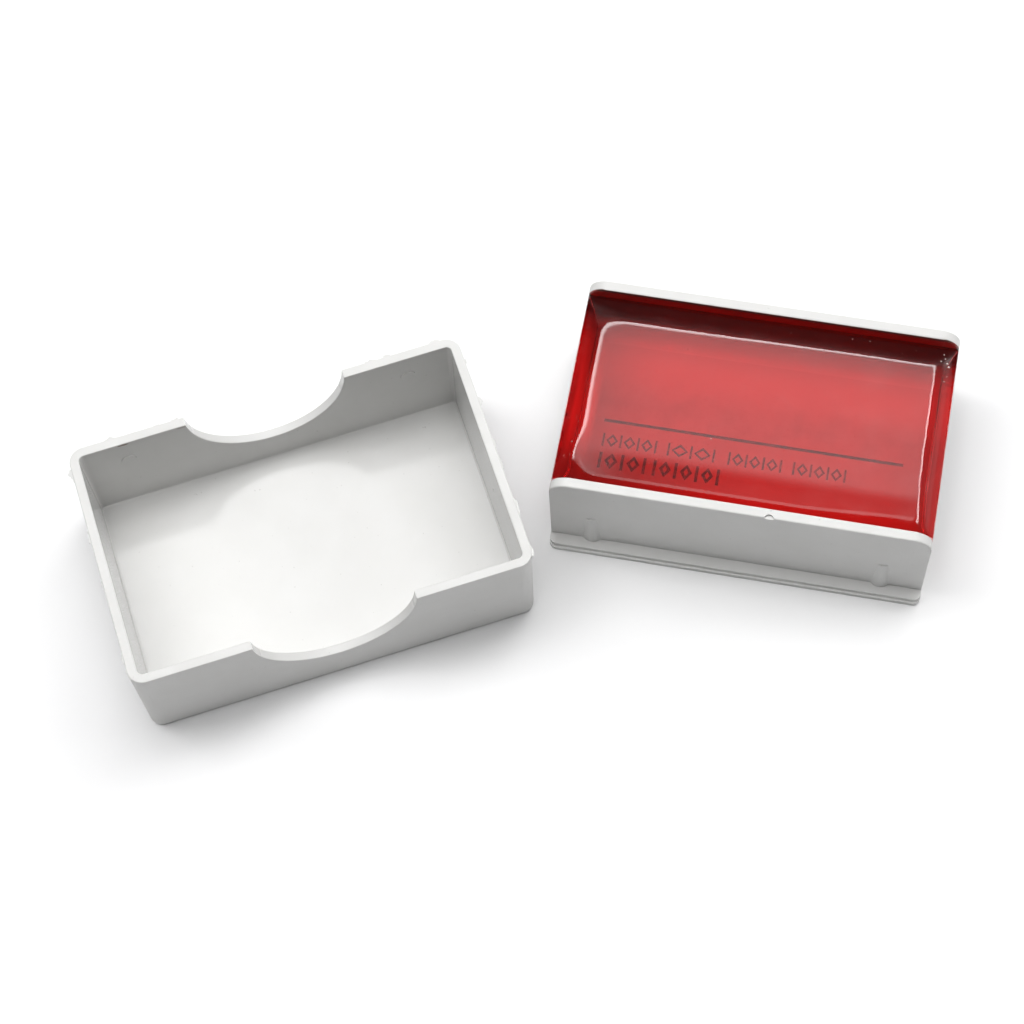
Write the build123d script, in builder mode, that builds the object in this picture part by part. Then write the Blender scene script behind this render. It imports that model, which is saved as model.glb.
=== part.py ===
from build123d import *
import math
import os

# Cased rosin cake for bowed strings, laid out open: the holder stands with the cake facing up,
# and its lift-off lid lies upside down beside it. All sizes are in millimetres.
# Origin: centre of the holder's underside. +X runs along the holder, +Z is up.

# ---- driving dimensions: holder -------------------------------------------------------
holder_length = 59.6        # walls and flange end flush
holder_height = 19.5
wall_width = 37.0           # across the outer faces of the two long walls
wall_thickness = 1.7
wall_corner_radius = 3.0    # rounded upper corners of each long wall
wall_edge_radius = 0.25
flange_width = 41.4         # lower layer of the stepped foot flange
flange_layer = 0.8          # height of each of the flange's two layers
flange_step = 0.35          # how far the lower layer stands out past the upper one
flange_corner_radius = 1.2
rib_radius = 1.85           # part-round grip ribs at the foot of each long wall
rib_proud = 0.65
rib_top_proud = 0.25        # the ribs taper upwards
rib_top = 8.9
rib_spacing = 46.2
channel_radius = 2.5        # rounded foot of the channel between the walls
gate_x = 4.6                # moulding gate nick in the front wall's top edge
gate_radius = 0.7
gate_depth = 0.35

# ---- driving dimensions: rosin, and the print under it --------------------------------
pool_level = 15.4           # flat middle of the cast surface
pool_corner_radius = 5.0
meniscus_radius = 3.2       # hollow curve up to every edge
film_thickness = 0.15       # rosin left on the walls above the curve
cake_top = 19.2
insert_length = 58.6
insert_width = 28.0
insert_thickness = 0.15
insert_corner_radius = 1.0

# ---- driving dimensions: lid -----------------------------------------------------------
lid_length = 64.0           # outside, at the rim
lid_width = 41.4            # outside, at the rim
lid_height = 19.8
lid_wall = 1.5
lid_roof = 1.5
lid_draft = 0.4             # per side, rim to closed face, outside
cavity_draft = 0.35         # per side, rim to ceiling, inside
lid_corner_radius = 2.5     # at the rim, outside
cavity_corner_radius = 0.5
ceiling_edge_radius = 0.3
roof_edge_radius = 0.7
rim_edge_radius = 0.15
notch_radius = 13.0         # thumb notch in both long walls
notch_rise = 1.0            # centre of the notch above the rim
boss_radius = 1.2           # low round bosses that bear on the holder's ribs
boss_proud = 0.15
boss_height = 14.5
boss_spacing = 46.2

# ---- where the lid lies ----------------------------------------------------------------
lid_x = -67.15
lid_y = -28.9
lid_yaw = 28.5

# ---- worked out ------------------------------------------------------------------------
flange_top = 2 * flange_layer
channel_width = wall_width - 2 * wall_thickness
rib_centre = wall_width / 2 + rib_proud - rib_radius
rib_taper = math.degrees(math.atan((rib_proud - rib_top_proud) / (rib_top - flange_top)))
cavity_length = lid_length - 2 * lid_wall
cavity_width = lid_width - 2 * lid_wall
cavity_depth = lid_height - lid_roof
lid_taper = math.degrees(math.atan(lid_draft / lid_height))
cavity_taper = math.degrees(math.atan(cavity_draft / cavity_depth))
boss_root = lid_wall / 2    # how far bosses reach into the wall they stand on

yaw = math.radians(lid_yaw)
lid_base = Plane(origin=(lid_x, lid_y, 0), x_dir=(math.cos(yaw), math.sin(yaw), 0), z_dir=(0, 0, 1))
lid_side = Plane(origin=lid_base.origin, x_dir=lid_base.x_dir, z_dir=lid_base.y_dir * -1)

os.makedirs("parts", exist_ok=True)


# ---- holder: stepped flange, two long walls, ribs --------------------------------------
with BuildPart() as holder:
    with BuildSketch(Plane.XY):
        RectangleRounded(holder_length, flange_width, flange_corner_radius)
    extrude(amount=flange_layer)
    with BuildSketch(Plane.XY.offset(flange_layer)):
        RectangleRounded(holder_length, flange_width - 2 * flange_step, flange_corner_radius)
    extrude(amount=flange_layer)

    # a block with rounded upper corners, then the channel that leaves the two long walls
    with BuildSketch(Plane.XZ):
        with Locations((0, (flange_top + holder_height) / 2)):
            Rectangle(holder_length, holder_height - flange_top)
        fillet(vertices().group_by(Axis.Y)[-1], radius=wall_corner_radius)
    extrude(amount=wall_width / 2, both=True)
    with BuildSketch(Plane.YZ):
        with Locations((0, (flange_top + holder_height) / 2)):
            Rectangle(channel_width, holder_height - flange_top)
        fillet(vertices().group_by(Axis.Y)[0], radius=channel_radius)
    extrude(amount=holder_length / 2, both=True, mode=Mode.SUBTRACT)

    # soften the outline of both walls, above the flange
    outline = edges().filter_by_position(Axis.Z, 2 * flange_top, holder_height)
    fillet(outline.filter_by(Axis.Y, reverse=True), radius=wall_edge_radius)

    # part-round grip ribs against the outer faces
    with BuildSketch(Plane.XY.offset(flange_top)):
        with GridLocations(rib_spacing, 2 * rib_centre, 2, 2):
            Circle(rib_radius)
        Rectangle(holder_length, wall_width - wall_thickness, mode=Mode.SUBTRACT)
    extrude(amount=rib_top - flange_top, taper=rib_taper)

    # moulding gate nick
    with BuildSketch(Plane.XY.offset(holder_height)):
        with Locations((gate_x, -wall_width / 2)):
            Circle(gate_radius)
    extrude(amount=-gate_depth, mode=Mode.SUBTRACT)

holder.part.label = "holder"
export_step(holder.part, "parts/holder.step")


# ---- printed insert on the channel floor -----------------------------------------------
with BuildPart() as printed_insert:
    with BuildSketch(Plane.XY.offset(flange_top)):
        RectangleRounded(insert_length, insert_width, insert_corner_radius)
    extrude(amount=insert_thickness)

printed_insert.part.label = "printed_insert"
export_step(printed_insert.part, "parts/printed_insert.step")


# ---- rosin cake, cast in the channel over the insert ------------------------------------
with BuildPart() as rosin_cake:
    with BuildSketch(Plane.YZ):
        with Locations((0, (flange_top + cake_top) / 2)):
            Rectangle(channel_width, cake_top - flange_top)
        fillet(vertices().group_by(Axis.Y)[0], radius=channel_radius)
    extrude(amount=holder_length / 2, both=True)

    # the hollow surface: flat in the middle, curving up to every edge
    with BuildSketch(Plane.XY.offset(pool_level)):
        RectangleRounded(
            holder_length - 2 * film_thickness,
            channel_width - 2 * film_thickness,
            pool_corner_radius,
        )
    extrude(amount=cake_top - pool_level, mode=Mode.SUBTRACT)
    pool = faces().filter_by_position(Axis.Z, pool_level, pool_level)
    fillet(pool.edges(), radius=meniscus_radius)

    # at the open ends the cake rounds down with the walls' corners
    with BuildSketch(Plane.XZ):
        with Locations((0, (flange_top + cake_top) / 2)):
            Rectangle(holder_length, cake_top - flange_top)
        fillet(vertices().group_by(Axis.Y)[-1], radius=wall_corner_radius)
    extrude(amount=channel_width / 2, both=True, mode=Mode.INTERSECT)

    # room for the insert underneath
    with BuildSketch(Plane.XY.offset(flange_top)):
        RectangleRounded(insert_length, insert_width, insert_corner_radius)
    extrude(amount=insert_thickness, mode=Mode.SUBTRACT)

rosin_cake.part.label = "rosin_cake"
export_step(rosin_cake.part, "parts/rosin_cake.step")


# ---- lid, upside down on its closed face ------------------------------------------------
with BuildPart() as lid:
    with BuildSketch(lid_base):
        RectangleRounded(
            lid_length - 2 * lid_draft,
            lid_width - 2 * lid_draft,
            lid_corner_radius - lid_draft,
        )
    extrude(amount=lid_height, taper=-lid_taper)
    fillet(faces().sort_by(Axis.Z)[0].edges(), radius=roof_edge_radius)

    with BuildSketch(lid_base.offset(lid_roof)):
        RectangleRounded(
            cavity_length - 2 * cavity_draft,
            cavity_width - 2 * cavity_draft,
            cavity_corner_radius,
        )
    extrude(amount=cavity_depth, taper=-cavity_taper, mode=Mode.SUBTRACT)
    ceiling = faces().filter_by_position(Axis.Z, lid_roof, lid_roof)
    fillet(ceiling.edges(), radius=ceiling_edge_radius)

    # low bosses inside the long walls, where the drafted wall stands at boss_wall
    boss_wall = cavity_width / 2 - cavity_draft * (lid_height - boss_height) / cavity_depth
    for side in (1, -1):
        with BuildSketch(lid_side.offset(side * (boss_wall - boss_proud))):
            with Locations((-boss_spacing / 2, boss_height), (boss_spacing / 2, boss_height)):
                Circle(boss_radius)
        extrude(amount=side * (boss_proud + boss_root))

    # thumb notch through both long walls
    with BuildSketch(lid_side):
        with Locations((0, lid_height + notch_rise)):
            Circle(notch_radius)
    extrude(amount=lid_width, both=True, mode=Mode.SUBTRACT)

    # soften the rim and the curved edges of the notches
    rim = edges().filter_by_position(Axis.Z, lid_height, lid_height)
    notch = faces().filter_by(GeomType.CYLINDER).filter_by(lambda f: round(f.radius, 2) == notch_radius)
    fillet(rim + notch.edges().filter_by(GeomType.LINE, reverse=True), radius=rim_edge_radius)

lid.part.label = "lid"
export_step(lid.part, "parts/lid.step")
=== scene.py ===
import math
import random

import bmesh
import bpy
import numpy as np
from mathutils import Matrix, Vector


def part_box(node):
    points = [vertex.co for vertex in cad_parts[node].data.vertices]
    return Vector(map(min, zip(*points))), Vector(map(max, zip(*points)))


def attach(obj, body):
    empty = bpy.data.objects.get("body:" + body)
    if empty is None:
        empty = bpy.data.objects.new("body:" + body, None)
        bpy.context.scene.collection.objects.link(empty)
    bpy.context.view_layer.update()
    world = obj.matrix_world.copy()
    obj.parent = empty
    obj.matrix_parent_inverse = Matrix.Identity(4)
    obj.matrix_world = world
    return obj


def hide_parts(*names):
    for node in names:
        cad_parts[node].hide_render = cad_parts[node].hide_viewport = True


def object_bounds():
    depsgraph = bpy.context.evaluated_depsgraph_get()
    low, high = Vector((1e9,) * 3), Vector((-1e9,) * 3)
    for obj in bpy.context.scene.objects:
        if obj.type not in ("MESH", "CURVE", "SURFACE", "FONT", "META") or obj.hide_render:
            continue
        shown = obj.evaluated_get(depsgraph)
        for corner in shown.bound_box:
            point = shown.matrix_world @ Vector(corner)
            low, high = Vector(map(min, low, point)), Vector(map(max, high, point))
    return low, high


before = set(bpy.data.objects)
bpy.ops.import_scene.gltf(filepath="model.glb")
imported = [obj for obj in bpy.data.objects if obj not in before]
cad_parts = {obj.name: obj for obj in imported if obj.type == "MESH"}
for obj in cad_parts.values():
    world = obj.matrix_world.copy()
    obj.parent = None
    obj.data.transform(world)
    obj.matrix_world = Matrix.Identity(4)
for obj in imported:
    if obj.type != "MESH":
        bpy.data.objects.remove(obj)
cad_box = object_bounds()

# A cake of red rosin cast in a grey plastic holder, with its lid lying upside down beside it.
# Lengths named here are in millimetres, in the row frame: +X along the holder, +Z up.
MM = 0.001


# ---- helpers: node trees ---------------------------------------------------------------
def new_material(name):
    material = bpy.data.materials.new(name)
    material.use_nodes = True
    material.node_tree.nodes.clear()
    return material, material.node_tree


def add(tree, kind, settings=None, **inputs):
    """A new node. An input's value is a number, a colour or another node's output socket."""
    made = tree.nodes.new("ShaderNode" + kind)
    for key, value in (settings or {}).items():
        setattr(made, key, value)
    for key, value in inputs.items():
        plug(tree, made.inputs[key.replace("_", " ")], value)
    return made


def plug(tree, socket, value):
    if isinstance(value, bpy.types.NodeSocket):
        tree.links.new(value, socket)
    else:
        socket.default_value = value


def maths(tree, operation, *values):
    made = tree.nodes.new("ShaderNodeMath")
    made.operation = operation
    for socket, value in zip(made.inputs, values):
        plug(tree, socket, value)
    return made.outputs[0]


def ramp(tree, value, low, high, out_low=0.0, out_high=1.0):
    """value from low..high, smoothly to out_low..out_high."""
    settings = {"interpolation_type": "SMOOTHSTEP"}
    made = add(tree, "MapRange", settings, From_Min=low, From_Max=high, To_Min=out_low, To_Max=out_high)
    plug(tree, made.inputs["Value"], value)
    return made.outputs["Result"]


def blend_colour(tree, share, first, second):
    made = add(tree, "MixRGB", Fac=share, Color1=first, Color2=second)
    return made.outputs["Color"]


def lerp(tree, share, first, second):
    """A value between two others: first where share is 0, second where it is 1."""
    left_over = maths(tree, "MULTIPLY", maths(tree, "SUBTRACT", 1, share), first)
    return maths(tree, "ADD", maths(tree, "MULTIPLY", share, second), left_over)


def vector_maths(tree, operation, *values):
    made = tree.nodes.new("ShaderNodeVectorMath")
    made.operation = operation
    for socket, value in zip(made.inputs, values):
        plug(tree, socket, value)
    return made


def dot(tree, first, second):
    return vector_maths(tree, "DOT_PRODUCT", first, second).outputs["Value"]


def millimetres(tree):
    """The point's place in the object, in millimetres."""
    made = vector_maths(tree, "SCALE", add(tree, "TexCoord").outputs["Object"])
    made.inputs["Scale"].default_value = 1 / MM
    return made.outputs["Vector"]


def noise(tree, place, size, detail=2.0, roughness=0.5):
    """Noise whose features are about size millimetres across, from 0 to 1."""
    made = add(tree, "TexNoise", Vector=place, Scale=1 / size, Detail=detail, Roughness=roughness)
    return made.outputs["Fac"]


def bump(tree, height, depth, normal=None):
    """Relief of depth millimetres from a height of 0 to 1."""
    made = add(tree, "Bump", Strength=1.0, Distance=depth * MM, Height=height)
    if normal is not None:
        plug(tree, made.inputs["Normal"], normal)
    return made.outputs["Normal"]


def finish_material(tree, surface, volume=None):
    out = add(tree, "OutputMaterial", Surface=surface)
    if volume is not None:
        tree.links.new(volume, out.inputs["Volume"])


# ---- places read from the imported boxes, in millimetres ---------------------------------
CAKE_LOW, CAKE_HIGH = (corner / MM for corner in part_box("rosin_cake"))
HOLDER_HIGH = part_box("holder")[1] / MM
INSERT_LOW, INSERT_HIGH = (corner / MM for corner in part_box("printed_insert"))
LID_LOW, LID_HIGH = (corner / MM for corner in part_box("lid"))
LID_MIDDLE = (LID_LOW + LID_HIGH) / 2
LID_YAW = math.radians(28.5)
LID_ALONG = Vector((math.cos(LID_YAW), math.sin(LID_YAW), 0))
LID_LENGTH, LID_WIDTH, LID_CORNER = 64.0, 41.4, 2.5     # outside, at the rim
LID_WALL = 1.5
LID_ROOF = 1.5


def on_lid(x, y, z):
    """A place given from the lid's middle, along its own sides, with z from the table."""
    turned_x = x * math.cos(LID_YAW) - y * math.sin(LID_YAW)
    turned_y = x * math.sin(LID_YAW) + y * math.cos(LID_YAW)
    return Vector((LID_MIDDLE.x + turned_x, LID_MIDDLE.y + turned_y, z))


# ---- the cast surface's levels ----------------------------------------------------------
POOL_LEVEL = 15.4         # flat middle of the cast surface
CLIMB_AT_WALLS = 1.75     # how far the surface climbs up to the long walls


# ---- materials -------------------------------------------------------------------------
def moulded_plastic(name, marks, polished_below=None):
    """Light grey injection-moulded plastic: faint mottling and grain, rubbed edges, a few specks.

    marks adds the piece's own stains to the colour, and on the holder painted shade too. Only the lid
    gives polished_below: its upward faces below that height are smooth from a polished mould, and its
    short walls are burnished.
    """
    material, tree = new_material(name)
    place = millimetres(tree)

    soft_edge = add(tree, "Bevel", {"samples": 4}, Radius=0.10 * MM).outputs["Normal"]
    wide_edge = add(tree, "Bevel", {"samples": 4}, Radius=0.30 * MM).outputs["Normal"]
    facing = add(tree, "NewGeometry").outputs["True Normal"]
    near_edge = ramp(tree, dot(tree, wide_edge, facing), 1.0, 0.86)
    rubbed = maths(tree, "MULTIPLY", near_edge, ramp(tree, noise(tree, place, 1.6, 3), 0.42, 0.68))

    mottle = ramp(tree, noise(tree, place, 9.0, 3), 0.3, 0.7)
    grey = blend_colour(tree, mottle, (0.612, 0.610, 0.598, 1), (0.630, 0.628, 0.618, 1))
    grey = blend_colour(tree, maths(tree, "MULTIPLY", rubbed, 0.55), grey, (0.78, 0.775, 0.76, 1))
    speck = ramp(tree, noise(tree, place, 0.55, 1), 0.775, 0.80)
    grey = blend_colour(tree, maths(tree, "MULTIPLY", speck, 0.35), grey, (0.30, 0.29, 0.27, 1))
    grey = marks(tree, place, grey)

    grain = noise(tree, place, 0.22, 2)
    sink = noise(tree, place, 6.0, 1)
    normal = bump(tree, grain, 0.004, bump(tree, sink, 0.008, soft_edge))
    dull = ramp(tree, noise(tree, place, 3.0, 3), 0.3, 0.7, 0.40, 0.52)
    shader = add(tree, "BsdfPrincipled", Base_Color=grey, IOR=1.49, Normal=normal)
    if polished_below is None:
        plug(tree, shader.inputs["Roughness"], dull)
    else:
        height = add(tree, "SeparateXYZ", Vector=place).outputs["Z"]
        level = ramp(tree, height, polished_below, polished_below - 0.2)
        upward = add(tree, "SeparateXYZ", Vector=facing).outputs["Z"]
        polished = maths(tree, "MULTIPLY", level, ramp(tree, upward, 0.85, 0.97))
        plug(tree, shader.inputs["Specular IOR Level"], lerp(tree, polished, 0.5, 0.20))

        # the short walls' insides, burnished by the holder's ends
        from_middle = vector_maths(tree, "SUBTRACT", place, LID_MIDDLE).outputs["Vector"]
        end = maths(tree, "SIGN", dot(tree, from_middle, LID_ALONG))
        inward = maths(tree, "MULTIPLY", dot(tree, facing, LID_ALONG), end)
        burnished = ramp(tree, inward, -0.90, -0.98)
        dull = lerp(tree, burnished, dull, 0.08)
        plug(tree, shader.inputs["Roughness"], lerp(tree, polished, dull, 0.13))
    finish_material(tree, shader.outputs[0])
    return material


PALE_FOOT = (0.88, 0.85, 0.83, 1)
# painted shade on the channel's walls under the cake
PAINTED_SHADE_UNDER_ROSIN = (0.065, 0.012, 0.010, 1)
TIDE_LINE = (0.035, 0.012, 0.010, 1)
FILM_STAIN = (0.32, 0.016, 0.012, 1)
DRIED_ROSIN = (0.11, 0.045, 0.038, 1)


def rosin_stains_and_shade(tree, place, grey):
    """The channel's walls: painted shade on them under the cake, stains where rosin clings above the
    pool; its foot is pale under the cake.
    """
    along = add(tree, "SeparateXYZ", Vector=place).outputs
    height = along["Z"]
    inside = ramp(tree, maths(tree, "ABSOLUTE", along["Y"]), CAKE_HIGH.y + 0.16, CAKE_HIGH.y + 0.10)
    foot = maths(tree, "MULTIPLY", inside, ramp(tree, height, CAKE_LOW.z - 0.3, CAKE_LOW.z - 0.2))
    grey = blend_colour(tree, foot, grey, PALE_FOOT)

    # painted shade on the walls under the cake, from a few millimetres above its foot; above the pool,
    # stains of rosin
    up = ramp(tree, height, CAKE_LOW.z + 3.0, CAKE_LOW.z + 9.5)
    below_top = ramp(tree, height, HOLDER_HIGH.z - 0.05, HOLDER_HIGH.z - 0.15)
    shade_and_stain = maths(tree, "MULTIPLY", maths(tree, "MULTIPLY", inside, up), below_top)
    # under the pool's level painted shade in deep red; from the pool up a dark tide line, a brighter
    # film, then dried rosin
    tide = POOL_LEVEL + CLIMB_AT_WALLS
    film = ramp(tree, height, tide + 0.10, tide + 0.35)
    colour = blend_colour(tree, film, PAINTED_SHADE_UNDER_ROSIN, FILM_STAIN)
    line_foot = ramp(tree, height, tide - 0.25, tide - 0.05)
    line_top = ramp(tree, height, tide + 0.30, tide + 0.10)
    colour = blend_colour(tree, maths(tree, "MULTIPLY", line_foot, line_top), colour, TIDE_LINE)
    dried = ramp(tree, height, HOLDER_HIGH.z - 0.9, HOLDER_HIGH.z - 0.45)
    colour = blend_colour(tree, dried, colour, DRIED_ROSIN)
    return blend_colour(tree, shade_and_stain, grey, colour)


def spot(tree, place, centre, size_x, size_z):
    """1 inside an uneven spot of about this size, 0 outside."""
    offset = vector_maths(tree, "SUBTRACT", place, centre).outputs["Vector"]
    part = add(tree, "SeparateXYZ", Vector=offset).outputs
    flat = maths(tree, "ADD", maths(tree, "POWER", part["X"], 2), maths(tree, "POWER", part["Y"], 2))
    flat = maths(tree, "DIVIDE", flat, size_x**2)
    tall = maths(tree, "DIVIDE", maths(tree, "POWER", part["Z"], 2), size_z**2)
    reach = maths(tree, "ADD", flat, tall)
    reach = maths(tree, "ADD", reach, maths(tree, "MULTIPLY", noise(tree, place, 0.5, 3), 1.2))
    return ramp(tree, reach, 1.9, 1.1)


def lid_stains(tree, place, grey):
    """Rosin dust on the far rim near the left corner, and a dark fleck inside the right wall."""
    rim = LID_HIGH.z
    inner_y, inner_x = LID_WIDTH / 2 - LID_WALL, LID_LENGTH / 2 - LID_WALL
    for x, share in ((-23.3, 0.75), (-13.6, 0.35)):
        dust = spot(tree, place, on_lid(x, inner_y, rim - 0.35), 0.9, 0.25)
        grey = blend_colour(tree, maths(tree, "MULTIPLY", dust, share), grey, (0.16, 0.09, 0.05, 1))
    fleck = spot(tree, place, on_lid(inner_x - 0.1, -3.0, rim - 9.0), 0.35, 0.35)
    return blend_colour(tree, fleck, grey, (0.10, 0.095, 0.09, 1))


ROSIN_IOR = 1.54
ROSIN_LIGHT = (0.955, 0.04, 0.03, 1)      # what its depth lets through
ROSIN_DENSITY = 170.0                     # per metre


def rosin():
    """Clear, deep red rosin: a glassy skin with fine scratches, colour from depth."""
    material, tree = new_material("rosin")
    place = millimetres(tree)
    scratch = ramp(tree, noise(tree, place, 1.1, 5, 0.65), 0.62, 0.66)
    normal = bump(tree, scratch, 0.0006)
    haze = ramp(tree, noise(tree, place, 5.0, 4), 0.35, 0.75, 0.0, 0.06)
    skin = add(tree, "BsdfPrincipled", Base_Color=(1, 1, 1, 1), Roughness=haze, Normal=normal)
    skin.inputs["IOR"].default_value = ROSIN_IOR
    skin.inputs["Transmission Weight"].default_value = 1.0

    # light reaches what lies inside straight through the skin, and takes its colour on the way
    ray = add(tree, "LightPath").outputs
    straight = maths(tree, "MAXIMUM", ray["Is Shadow Ray"], ray["Is Diffuse Ray"])
    clear = add(tree, "BsdfTransparent")
    surface = add(tree, "MixShader", Fac=straight)
    tree.links.new(skin.outputs[0], surface.inputs[1])
    tree.links.new(clear.outputs[0], surface.inputs[2])
    depth = add(tree, "VolumeAbsorption", Color=ROSIN_LIGHT, Density=ROSIN_DENSITY)
    finish_material(tree, surface.outputs[0], depth.outputs[0])
    return material


CARD_DARK, CARD_LIGHT = (0.49, 0.47, 0.45, 1), (0.56, 0.54, 0.52, 1)
# painted light at the card's far side
CARD_PAINTED_LIGHT_FAR = (0.84, 0.81, 0.79, 1)
# painted shade towards the card's near side
CARD_PAINTED_SHADE_NEAR = (0.50, 0.45, 0.38, 1)
CARD_DARKER_NEAR_LEFT = (0.30, 0.25, 0.21, 1)
# painted light at the card's left end
CARD_PAINTED_LIGHT_LEFT_END = (0.97, 0.92, 0.88, 1)


def insert_card():
    """The pale carrier of the print, seen through the cake, with painted light at its far side and left
    end and painted shade towards its near side.
    """
    material, tree = new_material("insert")
    place = millimetres(tree)
    cloud = ramp(tree, noise(tree, place, 4.5, 4, 0.6), 0.3, 0.7)
    colour = blend_colour(tree, cloud, CARD_DARK, CARD_LIGHT)
    along = add(tree, "SeparateXYZ", Vector=place).outputs
    x, y = along["X"], along["Y"]
    # painted light, lighter towards the far wall
    far_painted_light = ramp(tree, y, 3.0, INSERT_HIGH.y - 2.0)
    colour = blend_colour(tree, far_painted_light, colour, CARD_PAINTED_LIGHT_FAR)
    # painted shade, darker and warmer towards the near side
    near_painted_shade = ramp(tree, y, 4.0, INSERT_LOW.y + 2.0)
    colour = blend_colour(tree, near_painted_shade, colour, CARD_PAINTED_SHADE_NEAR)

    # darker in its near left quarter, and painted light in a strip along its left end
    quarter = ramp(tree, x, 4.0, INSERT_LOW.x + 6.0)
    darker_near_left = maths(tree, "MULTIPLY", quarter, ramp(tree, y, -2.0, -11.0))
    colour = blend_colour(tree, darker_near_left, colour, CARD_DARKER_NEAR_LEFT)
    # painted light: a pale strip along the left end, stronger towards the far side
    strip = ramp(tree, x, INSERT_LOW.x + 4.0, INSERT_LOW.x + 2.0)
    left_end_painted_light = maths(tree, "MULTIPLY", strip, ramp(tree, y, -10.0, 2.0, 0.1, 1.0))
    colour = blend_colour(tree, left_end_painted_light, colour, CARD_PAINTED_LIGHT_LEFT_END)
    normal = bump(tree, noise(tree, place, 0.35, 3), 0.01)
    shader = add(tree, "BsdfPrincipled", Base_Color=colour, Roughness=0.7, Normal=normal)
    finish_material(tree, shader.outputs[0])
    return material


def printing_ink():
    """Dark ink, worn paler in places."""
    material, tree = new_material("ink")
    place = millimetres(tree)
    worn = ramp(tree, noise(tree, place, 0.5, 3), 0.35, 0.7)
    colour = blend_colour(tree, worn, (0.050, 0.035, 0.032, 1), (0.16, 0.10, 0.09, 1))
    normal = bump(tree, worn, 0.003)
    shader = add(tree, "BsdfPrincipled", Base_Color=colour, Roughness=0.6, Normal=normal)
    finish_material(tree, shader.outputs[0])
    return material


def table_top():
    """A plain pale matt surface."""
    material, tree = new_material("table_top")
    place = millimetres(tree)
    tone = ramp(tree, noise(tree, place, 60.0, 2), 0.3, 0.7)
    colour = blend_colour(tree, tone, (0.845, 0.845, 0.850, 1), (0.860, 0.860, 0.862, 1))
    normal = bump(tree, noise(tree, place, 0.6, 3), 0.01)
    shader = add(tree, "BsdfPrincipled", Base_Color=colour, Roughness=0.75, Normal=normal)
    finish_material(tree, shader.outputs[0])
    return material


# ---- helpers: meshes -------------------------------------------------------------------
def new_object(name, mesh, material, body=None):
    thing = bpy.data.objects.new(name, mesh)
    bpy.context.scene.collection.objects.link(thing)
    mesh.materials.append(material)
    if body:
        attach(thing, body)
    return thing


def set_material(name, material):
    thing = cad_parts[name]
    thing.data.materials.clear()
    thing.data.materials.append(material)


def smooth(t):
    t = np.clip(t, 0, 1)
    return t * t * (3 - 2 * t)


# ---- rosin cake ------------------------------------------------------------------------
WALL_CORNER = 3.0         # rounded upper corners of the holder's long walls
WALL_CLEARANCE = 0.25     # the rosin stays this far below the walls' tops
CLIMB_AT_LEFT = 1.9       # how far the surface climbs up to the rim at each open end
CLIMB_AT_RIGHT = 1.6
FILM_THICKNESS = 0.28     # of the film left on the long walls above the climb
FILM_TOP = 19.2
TIP = 0.05                # slope of the pool's near side, which tips up a little
TIP_FROM = -6.5           # where in y it starts
TIP_OVER = 4.5            # and over how long a stretch it grows to its full slope
CHANNEL_RADIUS = 2.5      # rounded foot of the channel
BED = 0.05                # the cake sits this far into the holder's faces, so no gap shows
END_INSET = 0.03          # and its end faces stand this far back from the walls' ends
CELLS_ALONG, CELLS_ACROSS = 260, 190


def flat_reach(x, y):
    """How far the flat pool reaches in x and in y, from the middle."""
    left = 24.9 - 0.35 * np.exp(-(((y + 4.0) / 3.5) ** 2)) + 1.2 * smooth((-4.5 - y) / 5.0)
    right = 26.15 + 0.5 * smooth((-2.0 - y) / 12.0) + 0.05 * np.sin(y * 1.3)
    far = 12.9 + 0.6 * smooth((x + 18.0) / 35.0)
    near = 13.75 - 0.85 * smooth((x - 8.0) / 18.0)
    return np.where(x < 0, left, right), np.where(y > 0, far, near)


def pool_corner(x, y):
    """Corner radius of the flat pool, quarter by quarter: round at the left, sharp at the right."""
    left = np.where(y > 0, 2.6, 3.0)
    right = np.where(y > 0, 0.5, 0.7)
    return np.where(x < 0, left, right)


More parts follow.
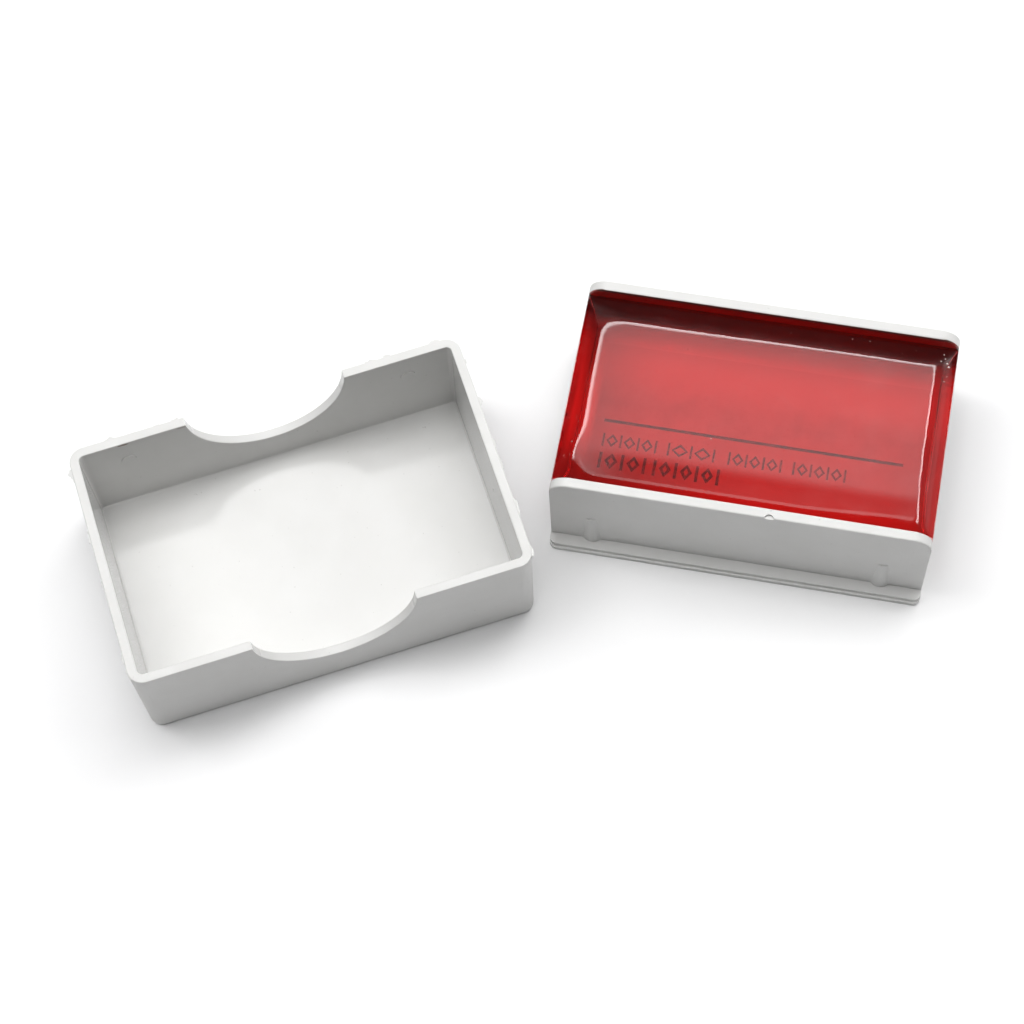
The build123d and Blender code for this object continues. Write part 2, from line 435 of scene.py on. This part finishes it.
def cake_height(x, y):
    """Height of the cast surface over the channel."""
    reach_x, reach_y = flat_reach(x, y)
    corner = pool_corner(x, y)
    out_x = np.maximum(np.abs(x) - reach_x + corner, 0) + 1e-6
    out_y = np.maximum(np.abs(y) - reach_y + corner, 0) + 1e-6
    out = np.hypot(out_x, out_y)

    # s runs from 0 at the pool's edge to 1 at the walls and the ends, whichever way it goes
    squareness = 10
    slant_x = out_x / out / (CAKE_HIGH.x - reach_x + corner)
    slant_y = out_y / out / (CAKE_HIGH.y - reach_y + corner)
    limit = (slant_x**squareness + slant_y**squareness) ** (-1 / squareness)
    s = np.clip((out - corner) / (limit - corner), 0, 1)
    end_share = slant_x**3 / (slant_x**3 + slant_y**3)

    # close to the pool the climb depends on the distance alone, so that its corners are round
    width = np.hypot(out_x / out * (CAKE_HIGH.x - reach_x), out_y / out * (CAKE_HIGH.y - reach_y))
    near = np.maximum(out - corner, 0) / width
    near = near / (1 + near**6) ** (1 / 6)      # levels off at 1
    s = near * (1 - s) + s * s

    # up the long walls: a hollow curve that ends upright against the wall
    wall = CLIMB_AT_WALLS * (0.60 * s**2 + 0.40 * s**4)
    # up to the left rim: a gentle curve; to the right rim: a crease, then a steady slope
    left = CLIMB_AT_LEFT * (0.80 * s**2.6 + 0.20 * s**6)
    crease = 0.11
    right = CLIMB_AT_RIGHT * (0.50 * (np.sqrt(s**2 + crease**2) - crease) + 0.12 * s**2 + 0.38 * s**5)
    end = np.where(x < 0, left, right)
    z = POOL_LEVEL + wall + (end - wall) * end_share

    # the near side tips up, less at its left end: the slope comes in smoothly over TIP_OVER
    past = np.maximum(TIP_FROM - y, 0)
    t = np.minimum(past / TIP_OVER, 1)
    rise = TIP * (TIP_OVER * (t**3 - t**4 / 2) + np.maximum(past - TIP_OVER, 0))
    z = z + rise * smooth((x + 38.0) / 22.0) * (1 - s)

    # the film on the walls
    up_film = np.clip((np.abs(y) - CAKE_HIGH.y + FILM_THICKNESS) / FILM_THICKNESS, 0, 1)
    z = z + (FILM_TOP - z) * up_film

    # the rim rounds down with the walls' corners: the lower of z and top, with a soft change-over
    past = np.clip(np.abs(x) - (HOLDER_HIGH.x - WALL_CORNER), 0, WALL_CORNER)
    top = HOLDER_HIGH.z - WALL_CORNER + np.sqrt(WALL_CORNER**2 - past**2) - WALL_CLEARANCE
    soft = 0.12
    return 0.5 * (z + top - np.sqrt((z - top) ** 2 + soft**2))


def graded(half, count):
    """count + 1 places from -half to half, closer together near both ends."""
    crowding = 0.72
    t = np.linspace(-1, 1, count + 1)
    return half * ((1 - crowding) * t + crowding * np.sin(t * math.pi / 2))


def cast_cake():
    """A closed solid: the cast surface on top, flat sides, end faces and underside."""
    xs = graded(CAKE_HIGH.x - END_INSET, CELLS_ALONG)
    ys = graded(CAKE_HIGH.y + BED, CELLS_ACROSS)
    grid_x, grid_y = np.meshgrid(xs, ys, indexing="ij")
    heights = cake_height(grid_x, np.clip(grid_y, CAKE_LOW.y, CAKE_HIGH.y))
    shape = bmesh.new()
    top = [
        [shape.verts.new(Vector((x, y, z)) * MM) for y, z in zip(ys, row)]
        for x, row in zip(xs, heights)
    ]
    for a, b in zip(top, top[1:]):
        for j in range(len(ys) - 1):
            shape.faces.new((a[j], b[j], b[j + 1], a[j + 1])).smooth = True

    # down the sides and round the channel's foot, from far to near
    side, foot = ys[-1], CAKE_LOW.z - BED
    centre_y, centre_z = CAKE_HIGH.y - CHANNEL_RADIUS, CAKE_LOW.z + CHANNEL_RADIUS
    section = []
    steps = 8
    for step in range(steps + 1):
        angle = math.pi / 2 * step / steps
        down, out = centre_z - foot, side - centre_y
        section.append((centre_y + out * math.cos(angle), centre_z - down * math.sin(angle)))
    section += [(-y, z) for y, z in section[::-1]]
    left, right = [
        [shape.verts.new(Vector((x, y, z)) * MM) for y, z in section]
        for x in (xs[0], xs[-1])
    ]
    for a, b, c, d in zip(left, left[1:], right[1:], right):
        shape.faces.new((a, b, c, d))
    shape.faces.new(left + top[0])
    shape.faces.new(right + top[-1])
    shape.faces.new([left[-1], right[-1]] + [row[0] for row in top[::-1]])
    shape.faces.new([right[0], left[0]] + [row[-1] for row in top])
    bmesh.ops.recalc_face_normals(shape, faces=shape.faces)
    mesh = bpy.data.meshes.new("rosin_casting")
    shape.to_mesh(mesh)
    shape.free()
    cake = new_object("rosin_casting", mesh, rosin(), "holder_body")
    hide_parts("rosin_cake")


# ---- print on the insert: a rule over two rows of a plain stroke-and-diamond border ----
INK_HEIGHT = 0.02
INK_SINK = 0.005          # the ink reaches this far into the insert
MARK_PITCH = 3.2          # about this far from stroke to stroke
RULE = (-24.3, 24.0, -0.25, 0.25)                 # x from, x to, y from, y to
# each row: y from, y to, line width, then its runs' x from and x to
ROW_ONE = (-4.7, -2.3, 0.30, ((-24.0, -15.2), (-13.4, -5.8), (-3.6, 5.0), (6.8, 15.3)))
ROW_TWO = (-8.8, -5.9, 0.46, ((-24.0, -16.4), (-15.2, -4.5)))


def ink_solid(shape, outline, hole=None):
    """A flat closed solid from an outline, or the ring between an outline and a hole."""
    levels = (INSERT_HIGH.z - INK_SINK, INSERT_HIGH.z + INK_HEIGHT)
    outer = [[shape.verts.new(Vector((x, y, z)) * MM) for x, y in outline] for z in levels]
    if hole is None:
        shape.faces.new(outer[0][::-1])
        shape.faces.new(outer[1])
        loops = [outer]
    else:
        inner = [[shape.verts.new(Vector((x, y, z)) * MM) for x, y in hole] for z in levels]
        loops = [outer, inner]
    for i in range(len(outline)):
        j = (i + 1) % len(outline)
        for low, high in loops:
            shape.faces.new((low[i], low[j], high[j], high[i]))
        if hole is not None:
            shape.faces.new((outer[1][i], outer[1][j], inner[1][j], inner[1][i]))
            shape.faces.new((outer[0][j], outer[0][i], inner[0][i], inner[0][j]))


def ink_stroke(shape, x_from, x_to, y_from, y_to):
    ink_solid(shape, ((x_from, y_from), (x_to, y_from), (x_to, y_to), (x_from, y_to)))


def ink_diamond(shape, x, half_width, y_from, y_to, line):
    """A hollow diamond. Its two insets leave sides of about the line's width."""
    middle, half_height = (y_from + y_to) / 2, (y_to - y_from) / 2
    loops = []
    for inset in (0, line):
        wide, tall = half_width - inset * 1.25, half_height - inset * 1.6
        loops.append(((x + wide, middle), (x, middle + tall), (x - wide, middle), (x, middle - tall)))
    ink_solid(shape, loops[0], loops[1])


def ink_row(shape, y_from, y_to, line, runs):
    """Upright strokes with a diamond between each pair, along each run."""
    for x_from, x_to in runs:
        pairs = round((x_to - x_from) / MARK_PITCH)
        pitch = (x_to - x_from - line) / pairs
        for i in range(pairs + 1):
            x = x_from + line / 2 + i * pitch
            ink_stroke(shape, x - line / 2, x + line / 2, y_from, y_to)
        for i in range(pairs):
            middle = x_from + line / 2 + (i + 0.5) * pitch
            ink_diamond(shape, middle, pitch / 2 - line * 1.6, y_from, y_to, line)


def print_marks():
    """The rule and both rows, as one piece of ink."""
    shape = bmesh.new()
    ink_stroke(shape, *RULE)
    ink_row(shape, *ROW_ONE)
    ink_row(shape, *ROW_TWO)
    bmesh.ops.recalc_face_normals(shape, faces=shape.faces)
    mesh = bpy.data.meshes.new("print_marks")
    shape.to_mesh(mesh)
    shape.free()
    new_object("print_marks", mesh, printing_ink(), "holder_body")


# ---- moulding flash: a thin, uneven feather along the lid's outer rim -------------------
FLASH_THICKNESS = 0.12
FLASH_WIDTH = 0.42
FLASH_ROOT = 0.10         # how far the feather reaches back into the rim
FLASH_BELOW_RIM = 0.16
FLASH_SPACING = 0.30      # along the rim
FLASH_JITTER = 0.30       # of the width, from place to place
FLASH_LEAST = 0.05        # where it would be narrower there is none
NOTCH_HALF = 13.6         # no flash along the thumb notches


def rim_outline(spacing):
    """Places and outward directions round the lid's rim, from its own middle."""
    half_x, half_y = LID_LENGTH / 2, LID_WIDTH / 2
    straight_x, straight_y = half_x - LID_CORNER, half_y - LID_CORNER
    corners = (
        (straight_x, straight_y, 0),
        (-straight_x, straight_y, 90),
        (-straight_x, -straight_y, 180),
        (straight_x, -straight_y, 270),
    )
    steps = 6
    stations = []
    for i, (x, y, turn) in enumerate(corners):
        for step in range(steps + 1):
            angle = math.radians(turn + 90 / steps * step)
            way = Vector((math.cos(angle), math.sin(angle)))
            stations.append((Vector((x, y)) + way * LID_CORNER, way))
        next_x, next_y, _ = corners[(i + 1) % 4]
        start = stations[-1][0]
        end = Vector((next_x, next_y)) + way * LID_CORNER
        count = int((end - start).length / spacing)
        for step in range(1, count):
            stations.append((start.lerp(end, step / count), way))
    return stations


def rim_flash(material):
    """Runs of feather round the far side and the ends; its width comes and goes along the rim."""
    dice = random.Random(11)
    stations = rim_outline(FLASH_SPACING)
    top = LID_HIGH.z - FLASH_BELOW_RIM
    waves = [(dice.uniform(0.15, 0.9), dice.uniform(0, 6.3), dice.uniform(0.4, 1.0)) for _ in range(7)]
    shape = bmesh.new()
    run = []

    def close_run():
        if len(run) > 3:
            for a, b in zip(run, run[1:]):
                for i in range(4):
                    j = (i + 1) % 4
                    shape.faces.new((a[i], a[j], b[j], b[i]))
            shape.faces.new(run[0][::-1])
            shape.faces.new(run[-1])
        else:
            for ring in run:
                for corner in ring:
                    shape.verts.remove(corner)
        run.clear()

    for i, (at, way) in enumerate(stations):
        swell = sum(size * math.sin(i * rate + start) for rate, start, size in waves) / 3.2
        clean = way.y < -0.5 or (abs(at.x) < NOTCH_HALF and abs(way.y) > 0.9)
        width = FLASH_WIDTH * (swell + dice.uniform(-FLASH_JITTER, FLASH_JITTER))
        if width < FLASH_LEAST or clean:
            close_run()
            continue
        droop = dice.uniform(0.0, 0.05)
        section = (
            (-FLASH_ROOT, 0.0),
            (width, droop),
            (width, droop + FLASH_THICKNESS / 2),
            (-FLASH_ROOT, FLASH_THICKNESS),
        )
        ring = []
        for out, down in section:
            place = at + way * out
            ring.append(shape.verts.new(on_lid(place.x, place.y, top - down) * MM))
        run.append(ring)
    close_run()
    bmesh.ops.recalc_face_normals(shape, faces=shape.faces)
    mesh = bpy.data.meshes.new("rim_flash")
    shape.to_mesh(mesh)
    shape.free()
    new_object("rim_flash", mesh, material, "lid_body")


# ---- dust and flecks on the cake -------------------------------------------------------
def dust_material(name, colour):
    material, tree = new_material(name)
    place = millimetres(tree)
    tone = blend_colour(tree, noise(tree, place, 0.2, 2), colour, (0.55, 0.50, 0.46, 1))
    normal = bump(tree, noise(tree, place, 0.08, 2), 0.01)
    shader = add(tree, "BsdfPrincipled", Base_Color=tone, Roughness=0.6, Normal=normal)
    finish_material(tree, shader.outputs[0])
    return material


def flecks(name, material, places, smallest, largest, seed):
    """Small uneven crumbs sitting on the cast surface."""
    dice = random.Random(seed)
    shape = bmesh.new()
    for x, y in places:
        size = dice.uniform(smallest, largest)
        z = float(cake_height(np.array(x), np.array(y)))
        made = bmesh.ops.create_icosphere(shape, subdivisions=1, radius=1.0)["verts"]
        stretch = Vector((dice.uniform(0.6, 1.3), dice.uniform(0.6, 1.3), dice.uniform(0.4, 0.7)))
        for corner in made:
            uneven = corner.co * dice.uniform(0.75, 1.15)
            corner.co = (Vector((x, y, z)) + uneven * stretch * size) * MM
    mesh = bpy.data.meshes.new(name)
    shape.to_mesh(mesh)
    shape.free()
    new_object(name, mesh, material, "holder_body")


def dust_the_cake():
    """Crumbs in the far right corner, fine dust elsewhere, and three dark grains at the ends."""
    dice = random.Random(5)
    corner = [(27.9, 15.3), (28.3, 14.5), (27.3, 14.9), (28.6, 13.9), (27.6, 15.9)]
    grains = [(28.2, 11.3), (28.5, 12.2), (-27.9, -8.8)]
    far_wall = [(dice.uniform(-24, 26), dice.uniform(15.2, 16.3)) for _ in range(9)]
    ends = [(-dice.uniform(27.5, 29.0), dice.uniform(-13, -4)) for _ in range(8)]
    pool = [(dice.uniform(-22, 24), dice.uniform(-12, 12)) for _ in range(10)]
    dust = dust_material("dust", (0.72, 0.60, 0.57, 1))
    fine_dust = dust_material("fine_dust", (0.70, 0.42, 0.40, 1))
    grit = dust_material("grit", (0.06, 0.03, 0.03, 1))
    flecks("dust_large", dust, corner, 0.10, 0.22, 3)
    flecks("dust_small", fine_dust, far_wall + ends + pool, 0.04, 0.09, 4)
    flecks("grit", grit, grains, 0.09, 0.15, 6)


# ---- every piece, in turn ---------------------------------------------------------------
holder_plastic = moulded_plastic("holder_plastic", rosin_stains_and_shade)
lid_plastic = moulded_plastic("lid_plastic", lid_stains, LID_LOW.z + LID_ROOF + 0.5)
set_material("holder", holder_plastic)
set_material("lid", lid_plastic)
set_material("printed_insert", insert_card())
cast_cake()
print_marks()
rim_flash(lid_plastic)
dust_the_cake()


# ---- table top -------------------------------------------------------------------------
TABLE_HALF = 1500
TABLE_GAP = 0.02          # the table lies this far below the object


def table():
    """The floor under the object, which isn't part of it."""
    mesh = bpy.data.meshes.new("table_top")
    shape = bmesh.new()
    bmesh.ops.create_grid(shape, x_segments=8, y_segments=8, size=TABLE_HALF * MM)
    shape.to_mesh(mesh)
    shape.free()
    top = new_object("table_top", mesh, table_top())
    top.location.z = cad_box[0].z - TABLE_GAP * MM


table()

# ---- camera ----------------------------------------------------------------------------
AZIMUTH, ELEVATION, ROLL = math.radians(15.72), math.radians(65.31), math.radians(-5.40)
DISTANCE = 425.2
AIM = Vector((-36.83, -15.46, 0))
LENS, SENSOR = 92.24, 36


def photographer():
    """The camera of the photo, aimed at a point on the table between the lid and the holder."""
    level_y = math.cos(AZIMUTH) * math.cos(ELEVATION)
    away = Vector((-math.sin(AZIMUTH) * math.cos(ELEVATION), level_y, -math.sin(ELEVATION)))
    level = away.cross(Vector((0, 0, 1))).normalized()
    upward = level.cross(away)
    right = level * math.cos(ROLL) + upward * math.sin(ROLL)
    up = upward * math.cos(ROLL) - level * math.sin(ROLL)
    camera = bpy.data.objects.new("camera", bpy.data.cameras.new("camera"))
    bpy.context.scene.collection.objects.link(camera)
    camera.data.lens = LENS
    camera.data.sensor_width = SENSOR
    camera.data.clip_start = 0.01
    turn = Matrix((right, up, -away)).transposed().to_4x4()
    camera.matrix_world = Matrix.Translation((AIM - away * DISTANCE) * MM) @ turn
    bpy.context.scene.camera = camera
    return camera


camera = photographer()

# ---- light -----------------------------------------------------------------------------
LIGHT_DISTANCE = 1100
pool_middle = Vector((0, 0, POOL_LEVEL)) * MM


def softbox(name, azimuth, elevation, half_across, half_up, radiance):
    """A rectangular softbox aimed at the cake. Degrees; azimuth from +Y towards +X.

    It gives light only: what the glossy surfaces mirror is the studio, below.
    """
    turned, raised = math.radians(azimuth), math.radians(elevation)
    level_x, level_y = math.sin(turned) * math.cos(raised), math.cos(turned) * math.cos(raised)
    outward = Vector((level_x, level_y, math.sin(raised)))
    light = bpy.data.lights.new(name, "AREA")
    light.shape = "RECTANGLE"
    light.size = 2 * LIGHT_DISTANCE * MM * math.tan(math.radians(half_across))
    light.size_y = 2 * LIGHT_DISTANCE * MM * math.tan(math.radians(half_up))
    light.energy = radiance * math.pi * light.size * light.size_y
    thing = bpy.data.objects.new(name, light)
    bpy.context.scene.collection.objects.link(thing)
    level = outward.cross(Vector((0, 0, 1))).normalized()
    turn = Matrix((level, outward.cross(level), outward)).transposed().to_4x4()
    thing.matrix_world = Matrix.Translation(pool_middle + outward * LIGHT_DISTANCE * MM) @ turn
    thing.visible_glossy = False


softbox("overhead", -16, 82, 14, 9, 5.4)
softbox("overhead_front", 180, 77, 14, 9, 4.8)
softbox("back", -16, 67, 13, 10, 2.6)
softbox("back_right", 25, 56, 12, 12, 4.6)
softbox("back_left", -56, 56, 12, 12, 1.0)
softbox("back_low", 0, 20, 16, 10, 1.4)
softbox("left_high", -90, 60, 12, 12, 5.1)
softbox("left_mid", -80, 38, 12, 12, 1.5)
softbox("right_high", 90, 60, 12, 12, 0.8)
softbox("right_low", 60, 20, 14, 10, 5.6)

# the direction that the flat pool mirrors to the camera, and the two directions square to it
glance = pool_middle - camera.matrix_world.translation
MIRRORED = Vector((glance.x, glance.y, -glance.z)).normalized()
SIDE = MIRRORED.cross(Vector((0, 0, 1))).normalized()
RISE = SIDE.cross(MIRRORED)


def degrees_off(tree, look, direction):
    """How far a line of sight turns from MIRRORED towards a direction square to it, in degrees."""
    angle = maths(tree, "ARCTAN2", dot(tree, look, direction), dot(tree, look, MIRRORED))
    return maths(tree, "MULTIPLY", angle, 180 / math.pi)


def mirrored_light(tree, look):
    """Radiance along each line of sight, painted in degrees across and over from MIRRORED."""
    across, over = degrees_off(tree, look, SIDE), degrees_off(tree, look, RISE)
    square = maths(tree, "ADD", maths(tree, "POWER", across, 2), maths(tree, "POWER", over, 2))
    off = maths(tree, "SQRT", square)

    # a scrim, brighter towards its edge and cut off below
    lower_left = maths(tree, "MULTIPLY", ramp(tree, across, -5.0, -8.0), 6.0)
    above = ramp(tree, maths(tree, "ADD", over, lower_left), -5.6, -1.2)
    scrim = maths(tree, "MULTIPLY", ramp(tree, off, 15.5, 14.0), above)
    bright_edge = maths(tree, "MULTIPLY", scrim, ramp(tree, off, 5.0, 11.0))

    # a window at the left, walls that are lighter at the left, and a glow above the scrim
    left_window = maths(tree, "MULTIPLY", ramp(tree, across, -22, -27), ramp(tree, across, -46, -38))
    left_window = maths(tree, "MULTIPLY", left_window, ramp(tree, maths(tree, "ABSOLUTE", over), 25, 12))
    left_window = maths(tree, "MULTIPLY", left_window, ramp(tree, over, -6, 3, 0.3, 1.0))
    walls = ramp(tree, dot(tree, look, (1, 0, 0)), 0.0, -0.8, 0.10, 0.60)
    glow = maths(tree, "MULTIPLY", ramp(tree, over, 5, 12), ramp(tree, over, 50, 15))
    radiance = walls
    for part, strength in ((glow, 0.35), (scrim, 2.1), (bright_edge, 8.5), (left_window, 1.6)):
        radiance = maths(tree, "ADD", radiance, maths(tree, "MULTIPLY", part, strength))
    return radiance


def studio():
    """The world: mirrored_light for glossy rays, a pale ground for the camera, else dim light."""
    world = bpy.data.worlds.new("studio")
    bpy.context.scene.world = world
    world.use_nodes = True
    tree = world.node_tree
    tree.nodes.clear()
    radiance = mirrored_light(tree, add(tree, "TexCoord").outputs["Generated"])

    ray = add(tree, "LightPath").outputs
    mirrored = add(tree, "Background", Color=(1, 1, 1, 1), Strength=radiance)
    seen = add(tree, "Background", Color=(0.95, 0.95, 0.95, 1), Strength=1.0)
    soft = add(tree, "Background", Color=(1, 1, 1, 1), Strength=0.03)
    first = add(tree, "MixShader", Fac=ray["Is Camera Ray"])
    tree.links.new(soft.outputs[0], first.inputs[1])
    tree.links.new(seen.outputs[0], first.inputs[2])
    second = add(tree, "MixShader", Fac=ray["Is Glossy Ray"])
    tree.links.new(first.outputs[0], second.inputs[1])
    tree.links.new(mirrored.outputs[0], second.inputs[2])
    add(tree, "OutputWorld", Surface=second.outputs[0])


studio()
bpy.context.scene.view_settings.view_transform = "Standard"
bpy.context.scene.view_settings.look = "None"
